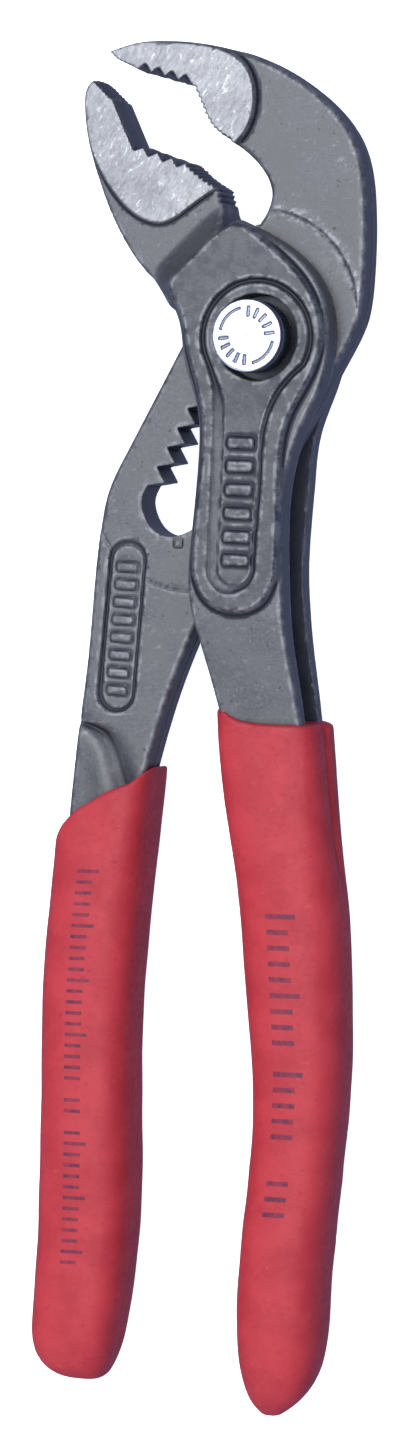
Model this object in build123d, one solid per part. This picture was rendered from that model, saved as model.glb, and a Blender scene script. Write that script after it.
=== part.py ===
"""Tongue and groove pliers, 150 mm, with a box joint and a push-button lock bolt.

The pliers lie flat.  +X points right, +Y along the tool towards the jaws and +Z out of the
button side.  The origin is on the pivot axis, in the plane that the rear of the head and of
the two grips rests on.  The box lever carries the left jaw and the right handle.  The tongue
lever passes through its window and carries the hooked jaw and the left handle.
All dimensions are in millimetres.
"""
import os
from math import cos, radians, sin

from build123d import *

# thicknesses, measured up from the rest plane
BODY_HEIGHT = 11.1          # over both cheeks of the box lever
PAD_RISE = 0.8              # raised pad round the button
CHEEK = 3.0                 # one cheek
RUNNING_GAP = 0.05          # tongue to cheek, each side
MID = BODY_HEIGHT / 2       # the plane both levers are symmetric about
JAW_THICKNESS = 6.5         # between the ground faces
NECK_THICKNESS = 5.7        # forged metal behind the ground faces
GRIP_THICKNESS = 11.0

# joint
SLOT_ANGLE = 29.1           # slot direction, from straight down towards the left
PITCH = 2.4                 # from one adjusting notch to the next
TOOTH_HEIGHT = 1.67
RACK_ROOT = 4.3             # notch roots, across the slot from the bolt centre
RACK_TIP = RACK_ROOT - TOOTH_HEIGHT
SLOT_WALL = -3.28           # plain side of the slot
TONGUE_HALF = 8.0           # half width of the straight tongue
SLOT_TOP, SLOT_END = -8.3, 23.4
BOSS_SWEEP = 11.4           # radius of the shallow machined face
SWEEP_TOP, SWEEP_END = -1.8, 17.8
SWEEP_DEPTH = 0.15
OPEN_ANGLE = 36.0           # how far the tongue lever swings open

# lock bolt, button, spring and washer
JOURNAL_RADIUS = 3.75
RECESS_RADIUS = 4.4         # recess in the rear cheek that the bolt's teeth are pushed into
RECESS_FLOOR = 0.9
SHANK_RADIUS = 3.2
STEM_RADIUS = 2.5
SPIGOT_RADIUS = 1.7
BORE_RADIUS = 4.55
BUTTON_RADIUS = 3.85
BUTTON_TOP = 15.3
BUTTON_ROOF = 1.6
BUTTON_ROUND = 0.25         # rounded rim of the button
BUTTON_INNER = 3.25
PRESS = 2.0                 # travel of the button
LEDGE = 0.8                 # metal under the spring washer
WASHER = 0.3
SPRING_WIRE = 0.5
SPRING_RADIUS = 2.95
SPRING_TURNS = 3.5

TONGUE_BOTTOM = CHEEK + RUNNING_GAP
TONGUE_TOP = BODY_HEIGHT - CHEEK - RUNNING_GAP
FRONT_CHEEK = BODY_HEIGHT - CHEEK
RIM = BODY_HEIGHT + PAD_RISE
LEDGE_TOP = FRONT_CHEEK + LEDGE
ROOF_UNDERSIDE = BUTTON_TOP - BUTTON_ROOF


def on_tongue(along, across):
    """A point given along the slot, away from the jaws, and across it towards the rack."""
    a = radians(SLOT_ANGLE)
    return (-along * sin(a) - across * cos(a), -along * cos(a) + across * sin(a))


def outline(*runs):
    """A flat face bounded by runs of points; a run is a smooth curve or straight lines."""
    edges = []
    for kind, points in runs:
        line = Spline(*points) if kind == "curve" else Polyline(*points)
        edges += line.edges()
    return Face(Wire(edges))


def slab(face, low, high):
    """The face extruded from one height up to another."""
    return extrude(Pos(0, 0, low) * face, amount=high - low, dir=(0, 0, 1))


def saw_edge(start, end, count, depth, lean):
    """Points of a toothed edge, tip to tip, with its notches cut to one side."""
    first, last = Vector(*start), Vector(*end)
    step = (last - first) / (count - 1)
    into = Vector(step.Y, -step.X).normalized() * depth
    points = []
    for i in range(count - 1):
        tip = first + step * i
        notch = tip + step * lean + into
        points += [(tip.X, tip.Y), (notch.X, notch.Y)]
    return points + [tuple(end)]


# ------------------------------------------------------------------ tongue lever

HOOK_TIP = (-17.9, 31.2)
HOOK_THROAT = (-3.6, 20.7)
HOOK_TEETH = saw_edge((-14.4, 28.8), (-8.3, 27.0), 5, -0.6, 0.4)


def hook_edge():
    """Working edge of the hooked jaw, from its tip to its throat."""
    return [
        ("line", [HOOK_TIP, (-16.7, 30.0), (-15.4, 29.4), (-14.4, 28.8)]),
        ("line", HOOK_TEETH),
        ("curve", [(-8.3, 27.0), (-7.5, 25.2), (-6.2, 22.6), HOOK_THROAT]),
    ]


def tongue_outline():
    right_top, right_end = on_tongue(-2, -TONGUE_HALF), on_tongue(29.5, -TONGUE_HALF)
    left_end, left_top = on_tongue(18, TONGUE_HALF), on_tongue(-3, TONGUE_HALF)
    return outline(
        *hook_edge(),
        ("curve", [HOOK_THROAT, (-1.3, 18.7), (0.3, 15.4), (-1.9, 11.3), left_top]),
        ("line", [left_top, left_end]),
        ("curve", [left_end, on_tongue(20.5, TONGUE_HALF), (-17.95, -16.2), (-18.6, -19.2),
                   (-19.4, -23.5), (-20.4, -34.0), (-22.0, -46.0), (-23.4, -57.0),
                   (-24.7, -80.0), (-25.0, -96.0), (-26.0, -108.0)]),
        ("curve", [(-26.0, -108.0), (-22.9, -111.8), (-19.7, -108.0)]),
        ("curve", [(-19.7, -108.0), (-17.8, -96.0), (-17.5, -80.0), (-16.0, -57.0),
                   (-13.9, -46.7), (-10.8, -37.3), right_end]),
        ("line", [right_end, right_top]),
        ("curve", [right_top, (9.8, 1.8), (10.7, 6.0), (11.2, 13.4), (9.8, 20.7),
                   (5.6, 26.1), (-2.4, 30.6), (-9.3, 32.1), (-14.5, 32.1), HOOK_TIP]),
    )


def hook_face():
    """The ground side face of the hooked jaw."""
    return outline(
        *hook_edge(),
        ("curve", [HOOK_THROAT, (-2.6, 21.7), (-1.3, 25.4), (-2.2, 28.9), (-7.5, 31.5),
                   (-13.0, 32.0), (-16.8, 31.8), HOOK_TIP]),
    )


def slot_face():
    """The slot between its plain side and the tips of the rack teeth."""
    end_radius = (RACK_TIP - SLOT_WALL) / 2
    mid = (RACK_TIP + SLOT_WALL) / 2
    top = [on_tongue(SLOT_TOP + end_radius, SLOT_WALL), on_tongue(SLOT_TOP, mid),
           on_tongue(SLOT_TOP + end_radius, RACK_TIP)]
    end = [on_tongue(SLOT_END - end_radius, RACK_TIP), on_tongue(SLOT_END, mid),
           on_tongue(SLOT_END - end_radius, SLOT_WALL)]
    edges = [ThreePointArc(*top), Line(top[2], end[0]), ThreePointArc(*end), Line(end[2], top[0])]
    return Face(Wire([e for line in edges for e in line.edges()]))


def slot_pocket():
    """Rounded pocket at the lower end of the slot, where the bolt is fitted."""
    rim = [(20.3, 4.25), (21.9, 4.1), (23.2, 3.1), (24.2, 0.9), (23.9, -0.6), (22.6, -2.1),
           (20.6, SLOT_WALL)]
    points = [on_tongue(along, across) for along, across in rim]
    return outline(("curve", points), ("line", [points[-1], points[0]]))


def rack_notches():
    """The V notches between the rack teeth, as far as the slot runs."""
    notches = []
    for k in range(-3, 9):
        root = (k + 0.5) * PITCH
        notches.append(Face(Wire(Polyline(
            on_tongue(root - 0.56 * PITCH, RACK_TIP - 0.02), on_tongue(root, RACK_ROOT),
            on_tongue(root + 0.44 * PITCH, RACK_TIP - 0.02), close=True).edges())))
    return notches


def machined_face():
    """The shallow flat that the cheeks of the box lever run over."""
    pts = [on_tongue(SWEEP_TOP, -BOSS_SWEEP), on_tongue(SWEEP_TOP - BOSS_SWEEP, 0),
           on_tongue(SWEEP_TOP, BOSS_SWEEP), on_tongue(SWEEP_END, BOSS_SWEEP),
           on_tongue(SWEEP_END + BOSS_SWEEP, 0), on_tongue(SWEEP_END, -BOSS_SWEEP)]
    edges = [ThreePointArc(*pts[0:3]), Line(pts[2], pts[3]), ThreePointArc(*pts[3:6]),
             Line(pts[5], pts[0])]
    return Face(Wire([e for line in edges for e in line.edges()]))


def make_tongue_lever():
    body = slab(tongue_outline(), TONGUE_BOTTOM, TONGUE_TOP)
    body += slab(hook_face(), MID - JAW_THICKNESS / 2, MID + JAW_THICKNESS / 2)
    flat = machined_face()
    body -= slab(flat, TONGUE_TOP - SWEEP_DEPTH, TONGUE_TOP + 0.5)
    body -= slab(flat, TONGUE_BOTTOM - 0.5, TONGUE_BOTTOM + SWEEP_DEPTH)
    for face in [slot_face(), slot_pocket()] + rack_notches():
        body -= slab(face, TONGUE_BOTTOM - 1, TONGUE_TOP + 1)
    return body


# --------------------------------------------------------------------- box lever

JAW_TIP = (-19.4, 28.2)
JAW_HEEL = (-5.3, 16.3)
JAW_TEETH = saw_edge((-13.7, 20.8), (-8.8, 19.0), 4, 0.5, 0.5)


def lower_jaw_edge():
    """Working edge of the jaw on the box lever, from its tip to its heel."""
    return [
        ("line", [JAW_TIP, (-18.0, 26.8), (-17.2, 26.0), (-15.9, 23.0), (-14.8, 20.5),
                  (-13.7, 20.8)]),
        ("line", JAW_TEETH),
        ("curve", [(-8.8, 19.0), (-7.4, 17.7), JAW_HEEL]),
    ]


def neck_outline():
    """The solid neck between the two cheeks, clear of the tongue wherever that swings."""
    swing = radians(180 - SLOT_ANGLE - OPEN_ANGLE)
    clear = TONGUE_HALF + 0.35
    foot = (-11.0, (clear - (-11.0) * cos(swing)) / sin(swing))
    corner_x = -6.3
    corner = (corner_x, (clear - corner_x * cos(swing)) / sin(swing))
    return outline(
        *lower_jaw_edge(),
        ("curve", [JAW_HEEL, (-4.7, 14.2), (-4.4, 11.6), (-4.9, 8.9), corner]),
        ("line", [corner, foot]),
        ("curve", [foot, (-13.5, 7.5), (-16.5, 11.8), (-19.0, 17.2), (-20.2, 22.0),
                   (-20.55, 25.5), (-20.0, 27.7), JAW_TIP]),
    )


def lower_jaw_face():
    """The ground side face of the jaw on the box lever."""
    return outline(
        *lower_jaw_edge(),
        ("curve", [JAW_HEEL, (-8.4, 14.3), (-11.8, 12.6), (-14.6, 13.5), (-17.7, 16.8),
                   (-19.7, 20.6), (-20.4, 25.0), (-20.0, 27.6), JAW_TIP]),
    )


ARM_LEFT = [(-10.6, 4.4), (-9.2, 1.5), (-8.6, -2.0), (-7.1, -7.0), (-6.7, -13.0),
            (-7.4, -22.0), (-7.6, -27.0), (-6.2, -33.2), (-4.4, -40.0), (-2.8, -48.0),
            (-1.0, -65.0), (0.1, -79.0), (-0.9, -96.0), (-1.6, -107.0)]
ARM_RIGHT = [(4.0, -107.0), (4.7, -96.0), (6.4, -79.0), (6.0, -65.0), (4.9, -48.0),
             (3.9, -39.5), (2.8, -31.0), (2.4, -24.0)]
HANDLE_END = (0.9, -112.0)
CHEEK_TOP = (-2.6, 12.7)


def cheek_outline(waist):
    """One cheek: the round boss, the long arm below it and the core of the handle."""
    return outline(
        ("curve", ARM_LEFT),
        ("curve", [ARM_LEFT[-1], HANDLE_END, ARM_RIGHT[0]]),
        ("curve", ARM_RIGHT + waist + [(6.9, 5.2), (2.8, 9.8), CHEEK_TOP]),
        ("curve", [CHEEK_TOP, (-7.6, 9.4), (-11.0, 6.2), ARM_LEFT[0]]),
    )


def handle_bridge():
    """The metal that joins the two cheeks inside the grip, set in a little from their edges."""
    left = [(x + 0.3, y) for x, y in ARM_LEFT[9:]]
    right = [(x - 0.3, y) for x, y in ARM_RIGHT[:5]]
    return outline(("curve", left), ("line", [left[-1], right[0]]), ("curve", right),
                   ("line", [right[-1], left[0]]))


FRONT_WAIST = [(3.1, -15.5), (4.6, -10.3), (7.2, -4.6), (7.9, 0.0)]
REAR_WAIST = [(3.0, -15.5), (3.7, -10.3), (5.7, -5.2), (7.2, 0.0)]


def pad_outline():
    """The raised pad round the button and down the arm, at its foot."""
    return outline(
        ("curve", [(-9.9, 5.6), (-8.8, 1.5), (-8.1, -2.0), (-6.7, -7.0), (-6.4, -13.0),
                   (-7.1, -22.0), (-7.1, -25.6)]),
        ("curve", [(-7.1, -25.6), (-5.6, -28.6), (-2.6, -29.8), (0.6, -28.8), (2.3, -25.6)]),
        ("curve", [(2.3, -25.6), (2.8, -16.0), (3.9, -9.0), (6.4, -4.4), (7.6, 0.6),
                   (6.2, 5.2), (1.8, 10.0), (-2.4, 12.0), (-5.6, 10.2), (-9.9, 5.6)]),
    )


def handle_taper(side):
    """Wedge cut off one side of the arm, which thins towards the grip."""
    start, mouth, inside, end = -29.5, -41.0, -49.0, -114.0
    surface = BODY_HEIGHT if side > 0 else 0.0
    face = Face(Wire(Polyline(
        (0, start, surface), (0, mouth, surface - side * 1.1),
        (0, inside, surface - side * 2.4), (0, end, surface - side * 2.4),
        (0, end, surface + side * 3), (0, start, surface + side * 3), close=True).edges()))
    return extrude(Pos(-30, 0, 0) * face, amount=60, dir=(1, 0, 0))


def ring_groove():
    """Incised ring round the bore, which runs on down the arm as a long sunken panel."""
    depth = 0.3
    ring = Circle(6.2) - Circle(5.75)
    panel = outline(
        ("curve", [(-4.3, -4.3), (-3.9, -9.0), (-4.3, -15.0), (-4.9, -24.4)]),
        ("curve", [(-4.9, -24.4), (-2.6, -26.9), (-0.3, -24.4)]),
        ("curve", [(-0.3, -24.4), (0.3, -16.0), (1.0, -8.8), (4.3, -4.3)]),
        ("line", [(4.3, -4.3), (-4.3, -4.3)]),
    )
    panel -= Circle(6.0)
    low, high = RIM - depth, RIM + 1
    cut = slab(ring.face(), low, high) + slab(panel.face(), low, high)
    for i in range(6):
        bar = Pos(-1.9 - 0.02 * i, -11.3 - 2.5 * i) * RectangleRounded(3.0, 1.1, 0.4)
        cut -= slab(bar.face(), low - 1, high + 1)
    return cut


def make_box_lever():
    front, rear = cheek_outline(FRONT_WAIST), cheek_outline(REAR_WAIST)
    body = slab(rear, 0, CHEEK) + slab(front, FRONT_CHEEK, BODY_HEIGHT)
    body += slab(handle_bridge(), CHEEK - 0.5, FRONT_CHEEK + 0.5)
    body += slab(neck_outline(), MID - NECK_THICKNESS / 2, MID + NECK_THICKNESS / 2)
    body += slab(lower_jaw_face(), MID - JAW_THICKNESS / 2, MID + JAW_THICKNESS / 2)
    body += slab(pad_outline(), BODY_HEIGHT - 0.3, RIM)
    body -= handle_taper(1)
    body -= handle_taper(-1)
    body -= slab(Circle(BORE_RADIUS).face(), LEDGE_TOP, RIM + 1)
    body -= slab(Circle(STEM_RADIUS + RUNNING_GAP).face(), FRONT_CHEEK - 1, LEDGE_TOP + 1)
    body -= slab(Circle(JOURNAL_RADIUS + RUNNING_GAP).face(), -1, CHEEK + 1)
    body -= slab(Circle(RECESS_RADIUS).face(), RECESS_FLOOR, CHEEK + 1)
    body -= ring_groove()
    return body


# ------------------------------------------------------------------------- grips

# sections down a grip: y, centre x, half width, half thickness
TONGUE_GRIP = [(-43.0, -17.0, 5.2, 5.4), (-50.0, -18.4, 5.3, 5.5), (-58.0, -19.5, 5.3, 5.5),
               (-72.0, -20.8, 5.2, 5.5), (-88.0, -21.1, 5.2, 5.5), (-100.0, -21.6, 5.3, 5.5),
               (-108.0, -22.5, 5.0, 5.2), (-112.5, -23.0, 4.2, 4.2), (-114.8, -23.1, 2.0, 2.0)]
BOX_GRIP = [(-40.4, 0.4, 5.4, 5.5), (-43.5, 0.6, 5.6, 5.5), (-55.0, 1.6, 5.65, 5.5),
            (-68.0, 2.8, 5.4, 5.5), (-79.5, 3.4, 5.0, 5.5), (-92.0, 2.4, 4.8, 5.5),
            (-103.0, 1.4, 4.8, 5.5), (-110.5, 1.0, 4.4, 4.6), (-115.5, 0.2, 3.0, 3.1),
            (-117.7, -0.2, 1.2, 1.2)]


def grip_form(sections):
    """A smooth closed form through rounded sections."""
    faces = []
    for y, x, half_width, half_thickness in sections:
        plane = Plane(origin=(x, y, MID), x_dir=(1, 0, 0), z_dir=(0, -1, 0))
        corner = 0.72 * min(half_width, half_thickness)
        faces.append(plane * RectangleRounded(2 * half_width, 2 * half_thickness, corner))
    return loft([f.face() for f in faces])


def make_tongue_grip(lever):
    form = grip_form(TONGUE_GRIP)
    mouth = Face(Wire(Polyline((-8, -43.6), (-26.0, -55.1), (-26, -35), (-8, -35),
                               close=True).edges()))
    form -= slab(mouth, -5, 20)
    return form - lever


def make_box_grip(lever):
    return grip_form(BOX_GRIP) - lever


# -------------------------------------------------- bolt, button, spring, washer

def make_bolt():
    """Turned bolt whose teeth lock in the rear of the rack until they are pushed clear of it."""
    bolt = slab(Circle(JOURNAL_RADIUS).face(), 0.3, CHEEK)
    bolt += slab(Circle(SHANK_RADIUS).face(), CHEEK - 0.1, TONGUE_TOP)
    band_low, band_high = CHEEK, CHEEK + PRESS
    flat = Rot(0, 0, 90 - SLOT_ANGLE) * Pos(0, RACK_TIP - 0.2 + 5) * Rectangle(20, 10)
    bolt -= slab(flat.face(), band_low, TONGUE_TOP + 0.1)
    depth = TOOTH_HEIGHT - 0.25
    for k in (-1, 0):
        root = (k + 0.5) * PITCH
        scale = depth / TOOTH_HEIGHT
        tooth = Face(Wire(Polyline(
            on_tongue(root - 0.56 * PITCH * scale - 0.15, RACK_TIP - 0.45),
            on_tongue(root - 0.56 * PITCH * scale, RACK_TIP - 0.05),
            on_tongue(root, RACK_TIP + depth - 0.05),
            on_tongue(root + 0.44 * PITCH * scale, RACK_TIP - 0.05),
            on_tongue(root + 0.44 * PITCH * scale + 0.15, RACK_TIP - 0.45),
            close=True).edges()))
        bolt += slab(tooth, band_low, band_high)
    stem_top = LEDGE_TOP + PRESS + 0.1
    bolt += slab(Circle(STEM_RADIUS).face(), TONGUE_TOP - 0.1, stem_top)
    bolt += slab(Circle(SPIGOT_RADIUS).face(), stem_top - 0.1, BUTTON_TOP - 0.5)
    return bolt


def make_button():
    """Cup-shaped button, closed over the spring and pressed on to the spigot of the bolt."""
    skirt = LEDGE_TOP + WASHER + PRESS + 0.1
    button = slab(Circle(BUTTON_RADIUS).face(), skirt, BUTTON_TOP)
    button = fillet(button.edges().group_by(Axis.Z)[-1], BUTTON_ROUND)
    button -= slab(Circle(BUTTON_INNER).face(), skirt - 1, ROOF_UNDERSIDE)
    return button - slab(Circle(SPIGOT_RADIUS).face(), ROOF_UNDERSIDE - 1, BUTTON_TOP - 0.5)


def make_spring():
    """Compression spring between the washer and the roof of the button."""
    low = LEDGE_TOP + WASHER + SPRING_WIRE / 2 + 0.02
    high = ROOF_UNDERSIDE - SPRING_WIRE / 2 - 0.02
    path = Pos(0, 0, low) * Helix((high - low) / SPRING_TURNS, high - low, SPRING_RADIUS)
    section = Plane(origin=path @ 0, z_dir=path % 0) * Circle(SPRING_WIRE / 2)
    return sweep(section, path=path, is_frenet=True)


def make_washer():
    ring = Circle(BORE_RADIUS - 0.1) - Circle(STEM_RADIUS + RUNNING_GAP)
    return slab(ring.face(), LEDGE_TOP, LEDGE_TOP + WASHER)


def main():
    box_lever = make_box_lever()
    tongue_lever = make_tongue_lever()
    nodes = {
        "box_lever": box_lever,
        "box_lever_grip": make_box_grip(box_lever),
        "tongue_lever": tongue_lever,
        "tongue_lever_grip": make_tongue_grip(tongue_lever),
        "hinge_bolt": make_bolt(),
        "push_button": make_button(),
        "button_spring": make_spring(),
        "spring_washer": make_washer(),
    }
    os.makedirs("parts", exist_ok=True)
    for name, shape in nodes.items():
        solids = shape.solids()
        print(name, len(solids), "solid,", round(sum(s.volume for s in solids), 1), "mm3")
        export_step(solids[0] if len(solids) == 1 else shape, f"parts/{name}.step")


main()
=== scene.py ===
"""Looks of the 150 mm tongue and groove pliers: forged levers, dipped grips, plated button.

The two levers, the grips and the button are solids given by distance fields, in
millimetres in the frame of the CAD model, and meshed with OpenVDB.  They follow the CAD
parts, mostly to within half a millimetre, and differ more at the mouths of the grips, the foot
of the neck and the hooked jaw.  They add what forging, grinding and dipping leave: rounded
edges, the slopes round the pad, incised rings, raised marks, flash lines, lips and creases.
"""

from math import cos, pi, radians, sin

import bpy
import numpy as np
import openvdb
from mathutils import Matrix, Vector


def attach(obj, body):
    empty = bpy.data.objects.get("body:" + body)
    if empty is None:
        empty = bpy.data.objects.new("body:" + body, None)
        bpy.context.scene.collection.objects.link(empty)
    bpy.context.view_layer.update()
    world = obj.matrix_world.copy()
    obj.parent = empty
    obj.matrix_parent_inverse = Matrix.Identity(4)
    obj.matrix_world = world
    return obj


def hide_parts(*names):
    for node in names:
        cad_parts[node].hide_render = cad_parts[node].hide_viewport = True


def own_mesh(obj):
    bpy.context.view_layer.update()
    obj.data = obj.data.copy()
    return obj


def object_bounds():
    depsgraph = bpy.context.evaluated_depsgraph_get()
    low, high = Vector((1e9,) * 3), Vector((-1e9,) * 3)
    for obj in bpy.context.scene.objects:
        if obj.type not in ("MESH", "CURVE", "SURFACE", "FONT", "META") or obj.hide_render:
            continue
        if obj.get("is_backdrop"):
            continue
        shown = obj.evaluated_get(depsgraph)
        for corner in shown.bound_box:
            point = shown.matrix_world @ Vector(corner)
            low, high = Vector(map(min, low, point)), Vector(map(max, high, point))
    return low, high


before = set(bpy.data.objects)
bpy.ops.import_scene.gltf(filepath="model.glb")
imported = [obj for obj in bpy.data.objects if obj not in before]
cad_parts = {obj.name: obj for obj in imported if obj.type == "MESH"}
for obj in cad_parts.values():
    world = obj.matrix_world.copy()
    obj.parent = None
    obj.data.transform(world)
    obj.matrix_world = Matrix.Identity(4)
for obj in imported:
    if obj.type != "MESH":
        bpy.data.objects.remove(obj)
cad_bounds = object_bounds()

MM = 0.001
VOXEL = 0.1
GRIP_VOXEL = 0.16
BUTTON_VOXEL = 0.05

# levels above the rest plane and sizes of the levers, in millimetres
BODY_HEIGHT = 11.1
PAD_RISE = 0.8
RIM = BODY_HEIGHT + PAD_RISE
MID = BODY_HEIGHT / 2
CHEEK = 3.0
WINDOW_HALF = BODY_HEIGHT / 2 - CHEEK
TONGUE_PLAY = 0.05
TONGUE_HALF_THICK = WINDOW_HALF - TONGUE_PLAY
JAW_HALF_THICK = 3.25
NECK_HALF_THICK = 2.85
BORE_RADIUS = 4.55
LEDGE = 0.8
LEDGE_TOP = BODY_HEIGHT - CHEEK + LEDGE
WASHER_TOP = LEDGE_TOP + 0.3
PRESS = 2.0
STEM_BORE = 2.55
JOURNAL_BORE = 3.8
RECESS_RADIUS = 4.4
RECESS_FLOOR = 0.9
SLOT_ANGLE = radians(29.1)
PITCH = 2.4
RACK_ROOT = 4.3
TOOTH_DEPTH = 1.67
RACK_TIP = RACK_ROOT - TOOTH_DEPTH
SLOT_WALL = -3.28
TONGUE_HALF = 8.0
TONGUE_FULLNESS = 0.35
NECK_CLEARANCE = 0.35
SLOT_TOP = -8.3
BOSS_SWEEP = 11.4
SWEEP_END = 17.8
OPEN_ANGLE = radians(36.0)


# ------------------------------------------------------------------ field helpers

class Grid:
    """A box of sample points, in millimetres."""

    def __init__(self, low, high, voxel):
        self.low = np.array(low, float)
        self.voxel = voxel
        counts = np.ceil((np.array(high, float) - self.low) / voxel).astype(int) + 1
        self.axes = [self.low[i] + voxel * np.arange(counts[i]) for i in range(3)]
        self.x = self.axes[0][:, None].astype(np.float32)
        self.y = self.axes[1][None, :].astype(np.float32)

    def fill(self, layer):
        """The volume whose slice at each height is what layer(z) gives."""
        volume = np.empty([len(a) for a in self.axes], np.float32)
        for k, z in enumerate(self.axes[2]):
            volume[:, :, k] = layer(z)
        return volume

    def plan(self, loop):
        """Signed distance to a closed outline over the plan of the grid, negative inside."""
        nearest = np.full((self.x.shape[0], self.y.shape[1]), 1e9, np.float32)
        inside = np.zeros(nearest.shape, bool)
        for (ax, ay), (bx, by) in zip(loop, np.roll(loop, -1, axis=0)):
            ex, ey = float(bx - ax), float(by - ay)
            length2 = ex * ex + ey * ey
            if length2 < 1e-10:
                continue
            dx, dy = self.x - np.float32(ax), self.y - np.float32(ay)
            t = np.clip((dx * ex + dy * ey) / np.float32(length2), 0, 1)
            np.minimum(nearest, (dx - t * ex) ** 2 + (dy - t * ey) ** 2, out=nearest)
            if ey != 0:
                crossed = (ay > self.y) != (by > self.y)
                inside ^= crossed & (self.x < ax + dy / ey * ex)
        return np.where(inside, -1, 1).astype(np.float32) * np.sqrt(nearest)


def curve(points, spacing=0.5):
    """Points along the smooth curve through the given points, a natural cubic spline."""
    p = np.array(points, float)
    count = len(p)
    t = np.concatenate([[0], np.cumsum(np.hypot(*np.diff(p, axis=0).T))])
    h = np.diff(t)
    system, right = np.eye(count), np.zeros((count, 2))
    for i in range(1, count - 1):
        system[i, i - 1:i + 2] = h[i - 1], 2 * (h[i - 1] + h[i]), h[i]
        right[i] = 6 * ((p[i + 1] - p[i]) / h[i] - (p[i] - p[i - 1]) / h[i - 1])
    m = np.linalg.solve(system, right)
    s = np.linspace(0, t[-1], int(t[-1] / spacing) + 2)
    k = np.clip(np.searchsorted(t, s, side="right") - 1, 0, count - 2)
    step, u = h[k][:, None], (s - t[k])[:, None]
    w = step - u
    return ((m[k] * w ** 3 + m[k + 1] * u ** 3) / (6 * step)
            + (p[k] / step - m[k] * step / 6) * w
            + (p[k + 1] / step - m[k + 1] * step / 6) * u)


def serrated(points, pitch, depth):
    """The smooth curve cut into fine teeth, with their notches to its left."""
    line = curve(points, pitch / 2)
    tangent = np.gradient(line, axis=0)
    tangent /= np.linalg.norm(tangent, axis=1)[:, None]
    line[1:-1:2] += depth * np.stack([-tangent[1:-1:2, 1], tangent[1:-1:2, 0]], axis=1)
    return line


def loop(*runs):
    """A closed outline from runs of points that follow one another."""
    return np.vstack([np.array(run, float)[:-1] for run in runs])


def arc(radius, start, end, count=48):
    """Points on a circle round the pivot, from one angle in degrees to another."""
    angles = np.radians(np.linspace(start, end, count))
    return np.stack([radius * np.cos(angles), radius * np.sin(angles)], axis=1)


def on_tongue(along, across):
    """A point given along the slot, away from the jaws, and across it towards the rack."""
    return (-along * sin(SLOT_ANGLE) - across * cos(SLOT_ANGLE),
            -along * cos(SLOT_ANGLE) + across * sin(SLOT_ANGLE))


def saw_edge(start, end, count, depth, lean):
    """Points of a toothed edge, tip to tip, with its notches cut to one side."""
    first, last = np.array(start), np.array(end)
    step = (last - first) / (count - 1)
    into = np.array([step[1], -step[0]]) / np.hypot(*step) * depth
    points = []
    for i in range(count - 1):
        points += [first + step * i, first + step * (i + lean) + into]
    return points + [last]


def ramp(t):
    """Goes smoothly from 0 at t = 0 to 1 at t = 1."""
    t = np.clip(t, 0, 1)
    return t * t * (3 - 2 * t)


def cut(a, b, r):
    """What two solids share, with its new edges rounded to the radius."""
    return np.minimum(-r, np.maximum(a, b)) + np.hypot(np.maximum(a + r, 0), np.maximum(b + r, 0))


def join(a, b, r):
    """Two solids together, with the corner between them filled to the radius."""
    return -cut(-a, -b, r)


def groove(distance, half_width):
    """A round-bottomed groove, 1 on its line and 0 beyond its half width."""
    return np.clip(1 - (distance / half_width) ** 2, 0, 1)


def capsule(x, y, start, end, radius):
    """Distance to the outline of a long round-ended shape, negative inside."""
    ex, ey = end[0] - start[0], end[1] - start[1]
    t = np.clip(((x - start[0]) * ex + (y - start[1]) * ey) / (ex * ex + ey * ey), 0, 1)
    return np.hypot(x - start[0] - t * ex, y - start[1] - t * ey) - radius


def bar(x, y, cx, cy, half_length, half_width, corner, tilt=0.0):
    """Distance to a rounded bar that lies across the lever."""
    c, s = cos(tilt), sin(tilt)
    u, v = (x - cx) * c + (y - cy) * s, -(x - cx) * s + (y - cy) * c
    qx, qy = np.abs(u) - half_length + corner, np.abs(v) - half_width + corner
    return (np.hypot(np.maximum(qx, 0), np.maximum(qy, 0))
            + np.minimum(np.maximum(qx, qy), 0) - corner)


def wobble(x, y, seed, scale):
    """Smooth uneven values between about -1 and 1, for hand-dipped and forged surfaces."""
    rng = np.random.default_rng(seed)
    total = 0
    for _ in range(5):
        kx, ky = rng.uniform(-1, 1, 2) / scale
        total = total + np.sin(kx * x + ky * y + rng.uniform(0, 2 * pi))
    return total / 3


def sample(grid, volume, points):
    """The volume's value at points in millimetres, between its samples."""
    at = (points - grid.low) / grid.voxel
    base = np.clip(np.floor(at).astype(int), 0, np.array(volume.shape) - 2)
    f = at - base
    value = np.zeros(len(points))
    for corner in range(8):
        offset = np.array([corner & 1, corner >> 1 & 1, corner >> 2 & 1])
        weight = np.prod(np.where(offset, f, 1 - f), axis=1)
        i = base + offset
        value += weight * volume[i[:, 0], i[:, 1], i[:, 2]]
    return value


def blurred(volume):
    """The volume averaged over a few samples each way."""
    for axis in range(3):
        for _ in range(2):
            before, after = np.roll(volume, 1, axis), np.roll(volume, -1, axis)
            volume = (before + volume + after) / 3
    return volume


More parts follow.
